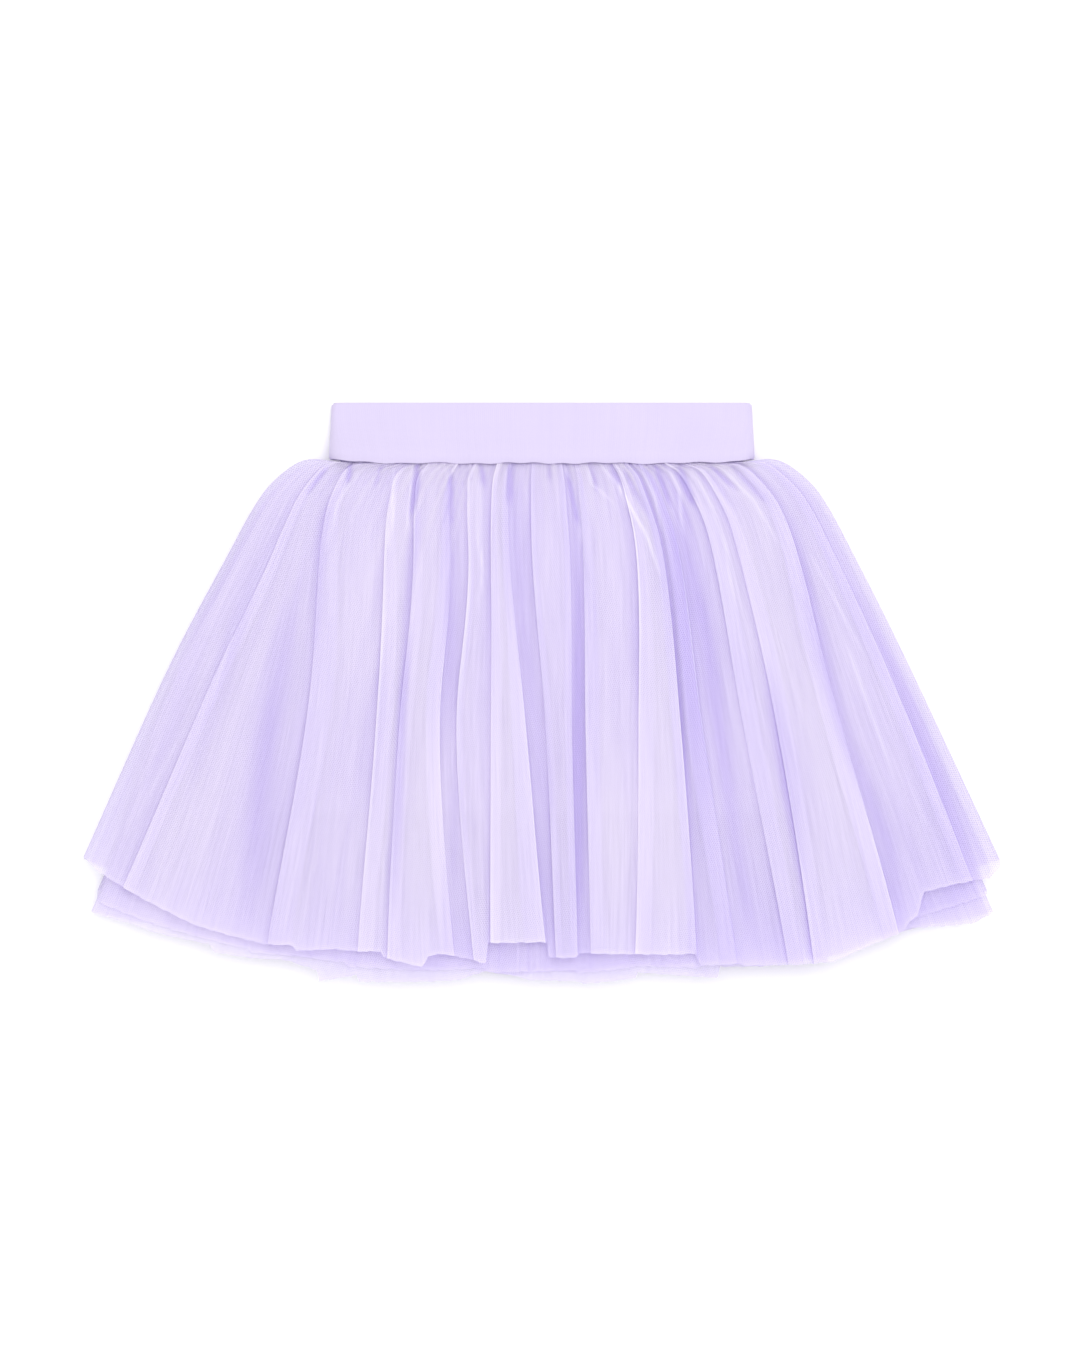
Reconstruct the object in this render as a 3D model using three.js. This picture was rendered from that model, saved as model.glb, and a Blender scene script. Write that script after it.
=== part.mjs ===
// A child's tulle skirt, laid out flat on its back with the waist towards +Y and its front facing up, +Z.
// An elastic waistband holds three gathered rings of tulle, one inside the other, and a plain lining inside them.
// Every ring is one closed wall: its front crosses from left to right, turns round the right side, and its
// back returns underneath, so the panels lie on each other. All sizes are in millimetres.
import * as THREE from "three";

// Driving sizes
const WAIST_WIDTH = 240;
const BAND_HEIGHT = 32.5;
const BAND_TOP_Y = 166;
const BAND_WALL = 1.6;
const CLOTH_WALL = 1;
const SEAM_GAP = 0.35;
const RING_GAP = 0.54;
const SEAM_ALLOWANCE = 4;
const LINING_LENGTH = 202;
const LINING_FLARE = 0.24;

// Heights of the pile
const SIDE_RADIUS = [5.6, 6]; // the side fold of the outer ring, at the gathered seam and at the hem
const TUCK_RISE = [1.4, 2.9]; // from one pass of a folded pleat to the next
const TUCK_LEAST = 0.15; // how much deeper than its rise a pleat is at least
const SEAM_TUCK = 2; // how deep every pleat is at the seam
const RIPPLE = [0.2, 3]; // the ripples of the two inner rings of tulle
const CREASE = [0.6, 1.1]; // the small creases between the pleats
const BACK_CREASE = [0, 0.8];
const LOFT = 4.5; // how far the springy tulle lifts the middle of the front
const STRIP_CROWN = 1.8; // how far the cloth between two pleats bows upwards
const OVER_RIPPLES = 0.3;

const NEST = CLOTH_WALL + RING_GAP; // from the middle of one wall to the middle of the next
const SIDE_NEST = 2.4; // the same where the rings flare out under the band
const SHOULDER_STEP = 1.4; // how much lower each ring's shoulders lie than those of the ring outside it
const GATHER_Y = BAND_TOP_Y - BAND_HEIGHT;
const BAND_LIFT = BAND_WALL + SEAM_GAP; // the cloth inside the band lies on the band's back
const LIFT_FROM_Y = GATHER_Y - 34;
const LIFT_TO_Y = GATHER_Y - 3.5;
const SPREAD_AT = 130; // where the pile has all its height, measured down from the seam
const THREAD_FAN = 2.2; // how late across the skirt the threads turn towards the side outline

// The skirt's side outline: along runs down the cloth from the seam, half is half the width there, drop is how
// far that point lies below the seam, and lean is how far the middle lies to the left.
const OUTLINE = [
  { along: 0, half: 114.8, drop: 1.6, lean: 2 },
  { along: 3, half: 116.4, drop: 1.8, lean: 2 },
  { along: 12, half: 130.5, drop: -0.8, lean: 2.2 },
  { along: 26, half: 143, drop: 3.9, lean: 2.3 },
  { along: 48, half: 159, drop: 19, lean: 2.3 },
  { along: 90, half: 179.5, drop: 55.3, lean: 2.5 },
  { along: 160, half: 211, drop: 118.3, lean: 2.6 },
  { along: 281, half: 261, drop: 228.1, lean: 0.6 },
];

// The folded edges of the front pleats, from left to right. seam, upper, lower and hem say where the edge lies
// across the skirt, from -1 at the left side to 1 at the right. faces is the side that the edge looks to, depth
// is how far the cloth is tucked in under it, creases counts the small gathers between this edge and the next,
// and hangs is how much lower the hem of the cloth beyond it hangs than the ring's own.
const EDGE_AT = { seam: 0, upper: 60, lower: 150, hem: 281 };
const PLEATS = [
  { seam: -0.92, upper: -0.88, lower: -0.885, hem: -0.91, faces: -1, depth: 6, creases: 1, hangs: 10 },
  { seam: -0.85, upper: -0.755, lower: -0.632, hem: -0.596, faces: -1, depth: 13, creases: 4, hangs: 9 },
  { seam: -0.65, upper: -0.539, lower: -0.446, hem: -0.4, faces: -1, depth: 9, creases: 1, hangs: 5 },
  { seam: -0.56, upper: -0.439, lower: -0.383, hem: -0.336, faces: -1, depth: 7, creases: 2, hangs: 7 },
  { seam: -0.412, upper: -0.311, lower: -0.273, hem: -0.19, faces: 1, depth: 8, creases: 1, hangs: 4 },
  { seam: -0.338, upper: -0.25, lower: -0.228, hem: -0.148, faces: -1, depth: 4, creases: 2, hangs: 6 },
  { seam: -0.221, upper: -0.173, lower: -0.134, hem: -0.112, faces: -1, depth: 6, creases: 1, hangs: -6 },
  { seam: -0.149, upper: -0.107, lower: -0.039, hem: 0.008, faces: 1, depth: 12, creases: 1, hangs: 2 },
  { seam: -0.05, upper: -0.03, lower: 0.015, hem: 0.03, faces: -1, depth: 4, creases: 1, hangs: 3 },
  { seam: 0.1, upper: 0.1, lower: 0.088, hem: 0.077, faces: 1, depth: 4, creases: 0, hangs: 0 },
  { seam: 0.16, upper: 0.145, lower: 0.125, hem: 0.105, faces: -1, depth: 8, creases: 2, hangs: 1 },
  { seam: 0.345, upper: 0.328, lower: 0.27, hem: 0.201, faces: -1, depth: 9, creases: 1, hangs: 3 },
  { seam: 0.42, upper: 0.42, lower: 0.384, hem: 0.336, faces: 1, depth: 5, creases: 0, hangs: 13 },
  { seam: 0.48, upper: 0.475, lower: 0.441, hem: 0.423, faces: 1, depth: 9, creases: 1, hangs: 17 },
  { seam: 0.6, upper: 0.585, lower: 0.549, hem: 0.534, faces: -1, depth: 9, creases: 1, hangs: 21 },
  { seam: 0.69, upper: 0.667, lower: 0.637, hem: 0.589, faces: -1, depth: 8, creases: 4, hangs: 21 },
  { seam: 0.86, upper: 0.85, lower: 0.796, hem: 0.774, faces: 1, depth: 9, creases: 2, hangs: 4 },
  { seam: 0.94, upper: 0.945, lower: 0.945, hem: 0.935, faces: 1, depth: 6, creases: 0, hangs: 5 },
];
const LEFT_SIDE_CREASES = 1;

// The rings of tulle from the outside in: how many walls lie outside each, its length down the centre of the
// front, where its hem's corners are, how much further its back hangs, how far the loft lifts its front, its
// ripples and their share of the full height, and its back creases. sink lowers the front of the innermost hem.
const TULLE = [
  { name: "tulle_outer", walls: 0, length: 281, half: 261, drop: 228.1, back: 6, lift: 1, backCreases: 22 },
  { name: "tulle_middle", walls: 1, length: 291, half: 255.2, drop: 244.8, back: 3, lift: 0.6, ripples: 24, wave: 1 },
  { name: "tulle_inner", walls: 2, length: 298, half: 259, drop: 256, back: 0, ripples: 24, wave: 0.1, sink: 0.4 },
];
const LINING_WALLS = 3;
const LINING_EASE = 0.2;

// Where the rings have a row of points, measured down from the seam. The hem adds one more.
const TULLE_ROWS = [-SEAM_ALLOWANCE, 3, 12, 26, 48, 90, 160];
const LINING_ROWS = [-SEAM_ALLOWANCE, 3, 12, 26, 90];
const SIDE_STEPS = 6; // facets round a side fold
const PLAIN_STEPS = 12; // facets across a back with no creases

// The waistband's thickness down its height, which drop counts from 0 at the top edge to 1 at the lower one.
// pile is 0 where only its own two walls lie on each other and 1 where it has all the gathers inside it.
const BAND_TOP_THICKNESS = 5.5;
const BAND_SECTIONS = [
  { drop: 0, pile: 0 },
  { drop: 0.3, pile: 0.12 },
  { drop: 0.6, pile: 0.5 },
  { drop: 0.86, pile: 1 },
  { drop: 1, pile: 1 },
];
const BAND_STEPS = 16;

const clamp = (value, low, high) => Math.min(high, Math.max(low, value));
const mix = (a, b, share) => a + (b - a) * share;

// A smooth curve through the rows of a table, read at `at`: a cubic whose slopes are those of its neighbours.
function read(table, column, at) {
  const last = table.length - 1;
  const slope = (i) => {
    const before = table[Math.max(i - 1, 0)];
    const after = table[Math.min(i + 1, last)];
    return (after[column] - before[column]) / (after.along - before.along);
  };
  if (at <= table[0].along) return table[0][column];
  if (at >= table[last].along) return table[last][column];
  const i = table.findIndex((row, n) => n < last && at < table[n + 1].along);
  const span = table[i + 1].along - table[i].along;
  const u = (at - table[i].along) / span;
  const [a, b] = [table[i][column], table[i + 1][column]];
  const [p, q] = [slope(i) * span, slope(i + 1) * span];
  return a + u * (p + u * (3 * (b - a) - 2 * p - q + u * (2 * (a - b) + p + q)));
}

// 0 at the seam, where everything is gathered tight, and 1 from the middle of the skirt down.
const spread = (along) => Math.sin((Math.PI / 2) * clamp((along - 2) / SPREAD_AT, 0, 1));
const between = (range, along) => mix(range[0], range[1], spread(along));

// 1 over most of the width, down to 0 at the side folds.
const sideFade = (s) => Math.sqrt(clamp((1 - Math.abs(s)) / 0.14, 0, 1));

// The side of a ring, inside the outline by the walls round it, all the way down to its hem's corner.
function sideLine({ walls, half, drop }) {
  const inset = CLOTH_WALL / 2 + walls * SIDE_NEST;
  const line = TULLE_ROWS.map((along) => {
    const down = along < 0 ? along : read(OUTLINE, "drop", along) + walls * SHOULDER_STEP;
    return new THREE.Vector2(read(OUTLINE, "half", along), -down);
  });
  line.push(new THREE.Vector2(half, -drop));
  return line.map((point, i) => {
    const u = point.clone().sub(line[Math.max(i - 1, 0)]).normalize();
    const v = line[Math.min(i + 1, line.length - 1)].clone().sub(point).normalize();
    const [before, after] = [u, v].map((d) => new THREE.Vector2(-d.y, d.x));
    const outward = before.clone().add(after).normalize();
    const square = outward.dot(i ? before : after);
    return point.clone().addScaledVector(outward, -inset / square);
  });
}

// A row of a ring: a loop of {q, z, along, hangs} is put in its place. Threads fan out towards the side, whose
// own place is `side`, and the cloth inside the band lies on the band's back.
function placeRow(loop, side, lean) {
  return loop.map(({ q, z, along, hangs }) => {
    const fan = clamp(Math.abs(q) / side.x, 0, 1) ** THREAD_FAN;
    const y = GATHER_Y + mix(-along, side.y, fan) - hangs;
    return new THREE.Vector3(q - lean, y, z + bandLift(y));
  });
}

function bandLift(y) {
  return BAND_LIFT * clamp((y - LIFT_FROM_Y) / (LIFT_TO_Y - LIFT_FROM_Y), 0, 1);
}

// A closed wall round the middle surface that the rows of points span, half its thickness to each side of it.
function wall(rows, thickness) {
  const count = rows[0].length;
  const end = rows.length - 1;
  const point = (row, i) => rows[row][(i + count) % count];
  const facetNormal = (row, i) => {
    const across = point(row + 1, i + 1).clone().sub(point(row, i));
    const back = point(row, i + 1).clone().sub(point(row + 1, i));
    return across.cross(back).normalize();
  };
  const positions = [];
  rows.forEach((points, row) => {
    points.forEach((middle, i) => {
      const facets = [row - 1, row]
        .filter((n) => n >= 0 && n < end)
        .flatMap((n) => [facetNormal(n, i - 1), facetNormal(n, i)]);
      const normal = facets.reduce((sum, facet) => sum.add(facet), new THREE.Vector3()).normalize();
      const square = facets.reduce((sum, facet) => sum + facet.dot(normal), 0) / facets.length;
      [1, -1].forEach((side) => {
        const moved = middle.clone().addScaledVector(normal, (side * thickness) / 2 / Math.max(0.6, square));
        positions.push(moved.x, moved.y, Math.max(moved.z, 0));
      });
    });
  });
  const index = [];
  const quad = (a, b, c, d) => index.push(a, b, c, a, c, d);
  const at = (row, i, side) => 2 * (row * count + (i % count)) + side;
  for (let i = 0; i < count; i++) {
    for (let row = 0; row < end; row++) {
      quad(at(row, i, 0), at(row + 1, i, 0), at(row + 1, i + 1, 0), at(row, i + 1, 0));
      quad(at(row, i, 1), at(row, i + 1, 1), at(row + 1, i + 1, 1), at(row + 1, i, 1));
    }
    quad(at(0, i, 0), at(0, i + 1, 0), at(0, i + 1, 1), at(0, i, 1));
    quad(at(end, i, 0), at(end, i, 1), at(end, i + 1, 1), at(end, i + 1, 0));
  }
  const geometry = new THREE.BufferGeometry();
  geometry.setAttribute("position", new THREE.Float32BufferAttribute(positions, 3));
  geometry.setIndex(index);
  return geometry;
}

// Half a turn round the right side (side 1) or the left one (side -1), without its first and last points.
function sideFold(side, reach, low, radius) {
  return Array.from({ length: SIDE_STEPS - 1 }, (_, i) => {
    const angle = (Math.PI * (i + 1)) / SIDE_STEPS;
    const turn = side > 0 ? angle : Math.PI - angle;
    return {
      q: side * (reach - radius + radius * Math.sin(turn)),
      z: low + radius + radius * Math.cos(turn),
    };
  });
}

const straight = (from, to, z, steps) =>
  Array.from({ length: steps + 1 }, (_, i) => ({ q: mix(from, to, i / steps), z }));

// The outer ring's back, from right to left: it lies flat, with narrow creases between flat stretches.
function creasedBack(flat, low, creases, height) {
  const points = [];
  for (let i = 0; i < creases; i++) {
    const uneven = 0.75 + 0.25 * Math.sin(2.4 * i);
    points.push({ q: mix(flat, -flat, i / creases), z: low });
    points.push({ q: mix(flat, -flat, (i + 0.45) / creases), z: low });
    points.push({ q: mix(flat, -flat, (i + 0.72) / creases), z: low + height * uneven });
  }
  points.push({ q: -flat, z: low });
  return points;
}

// Where a pleat's edge lies across the skirt, `along` down from the seam.
function edgeAt(pleat, along) {
  const table = Object.entries(EDGE_AT).map(([name, at]) => ({ along: at, s: pleat[name] }));
  return read(table, "s", along);
}

// How far a pleat's cloth is tucked in at this row: its own depth, or less where its neighbour is near.
function tuckDepth(i, edges, along) {
  const { faces, depth } = PLEATS[i];
  const neighbour = i - faces;
  const near = edges[neighbour] ?? Infinity;
  const sharedRoom = PLEATS[neighbour]?.faces === -faces;
  const room = Math.abs(near - edges[i]) * (sharedRoom ? 0.45 : 0.8) - 1;
  return Math.max(between(TUCK_RISE, along) + TUCK_LEAST, Math.min(mix(SEAM_TUCK, depth, spread(along)), room));
}

// The points of one folded pleat, from left to right: the cloth doubles back under its edge and on again.
function tuck(faces, edge, depth, low, rise) {
  const r = rise / 2;
  const at = (inwards, z) => ({ q: edge - faces * inwards, z: low + z });
  const topDown = [
    at(r, 2 * rise),
    at(0, 2 * rise - r),
    at(r, rise),
    at(depth - r, rise),
    at(depth, rise - r),
    at(depth - r, 0),
  ];
  return faces > 0 ? topDown : topDown.reverse();
}

// The outer ring's front from left to right: pleats, and between them strips of cloth with small creases. A strip
// starts and ends on top of a pleat, which is level 2, or under its edge, which is level 0.
function pleatedFront(along, reach, flat, low) {
  const rise = between(TUCK_RISE, along);
  const crease = between(CREASE, along);
  const base = (q) => {
    const s = q / reach;
    return low + LOFT * spread(along) * (1 - s * s) + (between(RIPPLE, along) + OVER_RIPPLES) * sideFade(s);
  };
  const edges = PLEATS.map((pleat) => edgeAt(pleat, along) * reach);
  const depths = PLEATS.map((_, i) => tuckDepth(i, edges, along));
  const points = [{ q: -flat, z: low }];
  const strip = (before, after, creases) => {
    const [from, to] = [edges[before] ?? -flat, edges[after] ?? flat];
    const levelFrom = PLEATS[before]?.faces < 0 ? 2 : 0;
    const levelTo = PLEATS[after]?.faces > 0 ? 2 : 0;
    const slopeFrom = levelFrom ? from + depths[before] : from;
    const slopeTo = levelTo ? to - depths[after] : to;
    const steps = 2 * creases + 1;
    const first = PLEATS[before]?.faces > 0 ? 0 : 1;
    const last = PLEATS[after]?.faces < 0 ? steps : steps - 1;
    const places = [];
    for (let i = first; i <= last; i++) {
      places.push({ q: mix(from, to, i / steps), ridge: i % 2 && i < steps ? crease : 0 });
    }
    if (levelFrom !== levelTo) places.push({ q: levelTo ? slopeTo : slopeFrom, ridge: 0 });
    places.sort((a, b) => a.q - b.q);
    const crown = levelFrom + levelTo > 0 ? STRIP_CROWN * spread(along) : 0;
    places.forEach(({ q, ridge }) => {
      const u = clamp((q - slopeFrom) / (slopeTo - slopeFrom), 0, 1);
      const level = mix(levelFrom, levelTo, u * u * (3 - 2 * u));
      const bow = crown * Math.sin((Math.PI * (q - from)) / (to - from));
      points.push({ q, z: base(q) + rise * level + bow + ridge });
    });
  };
  strip(-1, 0, LEFT_SIDE_CREASES);
  PLEATS.forEach(({ faces, creases }, i) => {
    points.push(...tuck(faces, edges[i], depths[i], base(edges[i]), rise));
    strip(i, i + 1, creases);
  });
  points.push({ q: flat, z: low });
  return points;
}

// An inner ring's front: ripples that nest in those of the next ring.
function rippledFront(along, reach, flat, low, { lift = 0, ripples, wave: height }) {
  const steps = 2 * ripples;
  return straight(-flat, flat, low, steps).map(({ q, z }, i) => {
    const s = q / reach;
    const wave = i % 2 ? height * between(RIPPLE, along) * sideFade(s) * (0.75 + 0.25 * Math.sin(1.7 * i)) : 0;
    return { q, z: z + lift * LOFT * spread(along) * (1 - s * s) + wave };
  });
}

// How much lower the outer ring's hem hangs at this point of its front.
function hemStep(s, along) {
  const past = PLEATS.filter((pleat) => edgeAt(pleat, along) < s);
  return past.length ? past[past.length - 1].hangs : 0;
}

function tulleRing(ring) {
  const { walls, length, back: backLonger, ripples, backCreases, sink = 0 } = ring;
  const side = sideLine(ring);
  const rows = side.map((edge, n) => {
    const hem = n === TULLE_ROWS.length;
    const along = hem ? length : TULLE_ROWS[n];
    const crease = between(BACK_CREASE, along);
    const low = CLOTH_WALL / 2 + walls * NEST + (walls ? crease : 0);
    const top = CLOTH_WALL / 2 + 2 * between(SIDE_RADIUS, along) - walls * NEST - (hem ? sink : 0);
    const radius = (top - low) / 2;
    const flat = edge.x - radius;
    const front = ripples
      ? rippledFront(along, edge.x, flat, top, ring)
      : pleatedFront(along, edge.x, flat, top);
    const back = ripples ? straight(flat, -flat, low, PLAIN_STEPS) : creasedBack(flat, low, backCreases, crease);
    const frontHangs = (q) => (hem && !ripples ? hemStep(q / edge.x, along) : 0);
    const loop = [
      ...front.map((p) => ({ ...p, along, hangs: frontHangs(p.q) })),
      ...sideFold(1, edge.x, low, radius).map((p) => ({ ...p, along, hangs: 0 })),
      ...back.map((p) => ({ ...p, along: along + (hem ? backLonger : 0), hangs: 0 })),
      ...sideFold(-1, edge.x, low, radius).map((p) => ({ ...p, along, hangs: 0 })),
    ];
    return placeRow(loop, edge, read(OUTLINE, "lean", along));
  });
  return wall(rows, CLOTH_WALL);
}

// A flattened tube across the skirt, between two heights, as one row of points.
function flatTube(reach, low, top, steps) {
  const radius = (top - low) / 2;
  const flat = reach - radius;
  return [
    ...straight(-flat, flat, top, steps),
    ...sideFold(1, reach, low, radius),
    ...straight(flat, -flat, low, steps),
    ...sideFold(-1, reach, low, radius),
  ];
}

// The lining is a plain, slightly flared tube with a straight hem.
function lining() {
  const inset = CLOTH_WALL / 2 + LINING_WALLS * NEST;
  const sideInset = CLOTH_WALL / 2 + LINING_WALLS * SIDE_NEST;
  const rows = [...LINING_ROWS, LINING_LENGTH].map((along) => {
    const reach = OUTLINE[0].half - sideInset + LINING_FLARE * Math.max(along, 0);
    const low = inset + between(BACK_CREASE, along) + LINING_EASE;
    const top = CLOTH_WALL / 2 + 2 * between(SIDE_RADIUS, along) - LINING_WALLS * NEST - LINING_EASE;
    const y = GATHER_Y - along;
    return flatTube(reach, low, top, PLAIN_STEPS).map(
      ({ q, z }) => new THREE.Vector3(q - OUTLINE[0].lean, y, z + bandLift(y)),
    );
  });
  return wall(rows, CLOTH_WALL);
}

// The waistband: a flattened tube of elastic, lifted at its lower edge by the gathers inside it.
function waistband() {
  const gathers = 2 * (SIDE_RADIUS[0] + TUCK_RISE[0]) + RIPPLE[0] + OVER_RIPPLES + CREASE[0] + CLOTH_WALL;
  const thickest = BAND_LIFT + gathers + SEAM_GAP + BAND_WALL;
  const rows = BAND_SECTIONS.map(({ drop, pile }) => {
    const reach = (WAIST_WIDTH - BAND_WALL) / 2;
    const top = mix(BAND_TOP_THICKNESS, thickest, pile) - BAND_WALL / 2;
    return flatTube(reach, BAND_WALL / 2, top, BAND_STEPS).map(
      ({ q, z }) => new THREE.Vector3(q - OUTLINE[0].lean, BAND_TOP_Y - drop * BAND_HEIGHT, z),
    );
  });
  return wall(rows, BAND_WALL);
}

const TULLE_FINISH = { color: 0xddd0f7, roughness: 0.85, metalness: 0, transparent: true, opacity: 0.7 };
const ELASTIC_FINISH = { color: 0xe6dcfa, roughness: 0.8, metalness: 0 };
const LINING_FINISH = { color: 0xd8c9f5, roughness: 0.7, metalness: 0 };

const skirt = new THREE.Group();
function sew(name, geometry, finish) {
  geometry.computeVertexNormals();
  const mesh = new THREE.Mesh(geometry, new THREE.MeshStandardMaterial(finish));
  mesh.name = name;
  skirt.add(mesh);
}
sew("waistband", waistband(), ELASTIC_FINISH);
TULLE.forEach((ring) => sew(ring.name, tulleRing(ring), TULLE_FINISH));
sew("lining", lining(), LINING_FINISH);

export default skirt;
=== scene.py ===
import math

import bpy
import numpy as np
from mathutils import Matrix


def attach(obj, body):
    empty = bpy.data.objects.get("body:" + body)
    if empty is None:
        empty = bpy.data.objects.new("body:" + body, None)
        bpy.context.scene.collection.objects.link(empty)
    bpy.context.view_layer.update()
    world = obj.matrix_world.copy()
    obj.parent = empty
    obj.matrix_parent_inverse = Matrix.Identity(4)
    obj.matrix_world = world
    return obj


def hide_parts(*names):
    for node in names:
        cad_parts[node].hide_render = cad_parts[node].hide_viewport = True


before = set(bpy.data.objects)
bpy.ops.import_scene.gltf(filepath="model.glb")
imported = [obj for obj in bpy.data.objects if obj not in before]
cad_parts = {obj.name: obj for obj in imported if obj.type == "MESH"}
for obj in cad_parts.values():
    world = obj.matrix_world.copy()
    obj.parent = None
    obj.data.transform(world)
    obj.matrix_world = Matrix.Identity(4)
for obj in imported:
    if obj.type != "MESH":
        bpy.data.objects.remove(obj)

bl_info = {
    "name": "Tulle skirt",
    "version": (1, 0, 0),
    "blender": (4, 5, 0),
    "location": "View3D > Sidebar > Skirt",
    "description": "Builds a child's gathered tulle skirt that lies flat on a pale floor",
    "category": "Object",
}

MM = 0.001
CLOTH_MAP = "cloth"
STREAKS = "thread streaks"
# The valley attribute holds painted shade in the valleys and creases
VALLEY_SHADE = "valley_shade"
SHINE = "shine"
# The tone attribute holds painted light and shade of the strips and gathers, with the cloth's tone
LIGHT_SHADE_AND_TONE = "tone"
BEHIND = "behind"

# Sizes in millimetres. Those of the whole skirt are the part's own.
WAIST_WIDTH = 240
BAND_HEIGHT = 32.5
BAND_TOP_Y = 166
BAND_WALL = 0.9
BAND_SAG = 2.6
BAND_SECTIONS = np.array([(0, 5.5), (0.3, 7.2), (0.6, 12.2), (0.86, 17.8), (1, 17.4)])
CLOTH_WALL = 1
NEST = 1.54
FRONT_NEST = 1.1
SIDE_NEST = 2.4
SHOULDER_STEP = 1.4
SEAM_ALLOWANCE = 4
GATHER_Y = BAND_TOP_Y - BAND_HEIGHT
BAND_LIFT = 1.95
LIFT_FROM_Y = GATHER_Y - 34
LIFT_TO_Y = GATHER_Y - 3.5
SPREAD_AT = 130
THREAD_FAN = 2.2
SIDE_RADIUS = (5.6, 6)
BACK_CREASE = (0, 0.8)
BACK_CREASES = 22
STRIP_CROWN = 1.4
STRIP_SHADING = 0.16
LOFT = 4.5
LINING_LENGTH = 202
LINING_FLARE = 0.24
LINING_WALLS = 3
LINING_EASE = 0.2
TURN_STEPS = 12

# How many gathers there are across the front, their own random start, and how far down they reach
SEAM_GATHERS = (50, 3, (14, 62))
MIDDLE_FOLDS = (27, 11, (70, 190))
BROAD_FOLDS = (17, 23, (400, 700))

# How far the net is turned from the skirt's own axes: the cosine and the sine
NET_TURN = (0.94, 0.34)

# Colours that no size changes: the painted highlight on folded edges and hairlines, the painted shade on
# the back of a ring, and the lining's turned hem
PAINTED_HIGHLIGHT = (0.98, 0.96, 1, 1)
SHADED_BACK_CLOTH = (0.7, 0.63, 0.93, 1)
TURNED_HEM = (0.97, 0.95, 1, 1)

# The folded pleats lie closer here than in the part, because real tulle is thinner than its walls
TUCK_RISE = (0.7, 1.1)
TUCK_LEAST = 0.15
SEAM_TUCK = 2

# How far down the cloth, half the width there, how far below the seam, and how far the middle leans left
OUTLINE = np.array([
    (0, 114.8, 1.6, 2),
    (3, 116.4, 1.8, 2),
    (12, 130.5, -0.8, 2.2),
    (26, 143, 3.9, 2.3),
    (48, 159, 19, 2.3),
    (90, 179.5, 55.3, 2.5),
    (160, 211.8, 118.3, 3.2),
    (281, 262, 228.1, 1.8),
])

# A pleat's edge across the skirt at four places down it, the side it looks to, how far its cloth is
# tucked in, and how bright the painted highlight on its folded edge is
EDGE_AT = np.array([0, 60, 150, 281])
PLEATS = [
    ((-0.92, -0.88, -0.885, -0.91), -1, 6, 0.3),
    ((-0.85, -0.755, -0.632, -0.596), -1, 13, 0.35),
    ((-0.65, -0.539, -0.446, -0.4), -1, 9, 1),
    ((-0.56, -0.439, -0.383, -0.336), -1, 7, 0.5),
    ((-0.412, -0.311, -0.273, -0.19), 1, 8, 0.8),
    ((-0.338, -0.25, -0.228, -0.148), -1, 4, 1),
    ((-0.221, -0.173, -0.134, -0.112), -1, 6, 0.7),
    ((-0.149, -0.107, -0.039, 0.008), 1, 12, 0.9),
    ((-0.05, -0.03, 0.015, 0.03), -1, 4, 0.3),
    ((0.1, 0.1, 0.088, 0.077), 1, 4, 0.4),
    ((0.16, 0.145, 0.125, 0.105), -1, 8, 0.3),
    ((0.345, 0.328, 0.27, 0.201), -1, 9, 1),
    ((0.42, 0.42, 0.384, 0.336), 1, 5, 0.8),
    ((0.48, 0.475, 0.441, 0.423), 1, 9, 1),
    ((0.6, 0.585, 0.549, 0.534), -1, 9, 0.4),
    ((0.69, 0.667, 0.637, 0.589), -1, 8, 0.5),
    ((0.86, 0.85, 0.796, 0.774), 1, 9, 0.6),
    ((0.94, 0.945, 0.945, 0.935), 1, 6, 0.3),
]

# How light the strip of cloth before each pleat is, and the one after the last, as painted light and shade
# that also stands for how many layers of net overlap there: -1 in the deep valleys
STRIP_LIGHT_SHADE = [
    0.4, 0.2, 0.2, 0.7, 0.7, -0.1, 0.2, 0.9, -0.4, -0.1,
    -1, 0.2, 1.1, -2, -0.4, -0.2, 0.3, -0.3, -1.1,
]

# The rings from the outside in: the walls round it, its length down the middle, where its hem's corners
# are, how far the loft lifts its front, its ripples, its steps down near the seam and below, and its flat
# cut in metres
RINGS = {
    "outer": (0, 281, 262, 228.1, 1, 0, 1.6, 3.6, (1.15, 0.285)),
    "middle": (1, 291, 256.5, 244.8, 0.85, 1.6, 3, 5, (1.05, 0.295)),
    "inner": (2, 298, 262, 256, 0.7, 1.2, 3, 5, (1.05, 0.302)),
}

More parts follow.
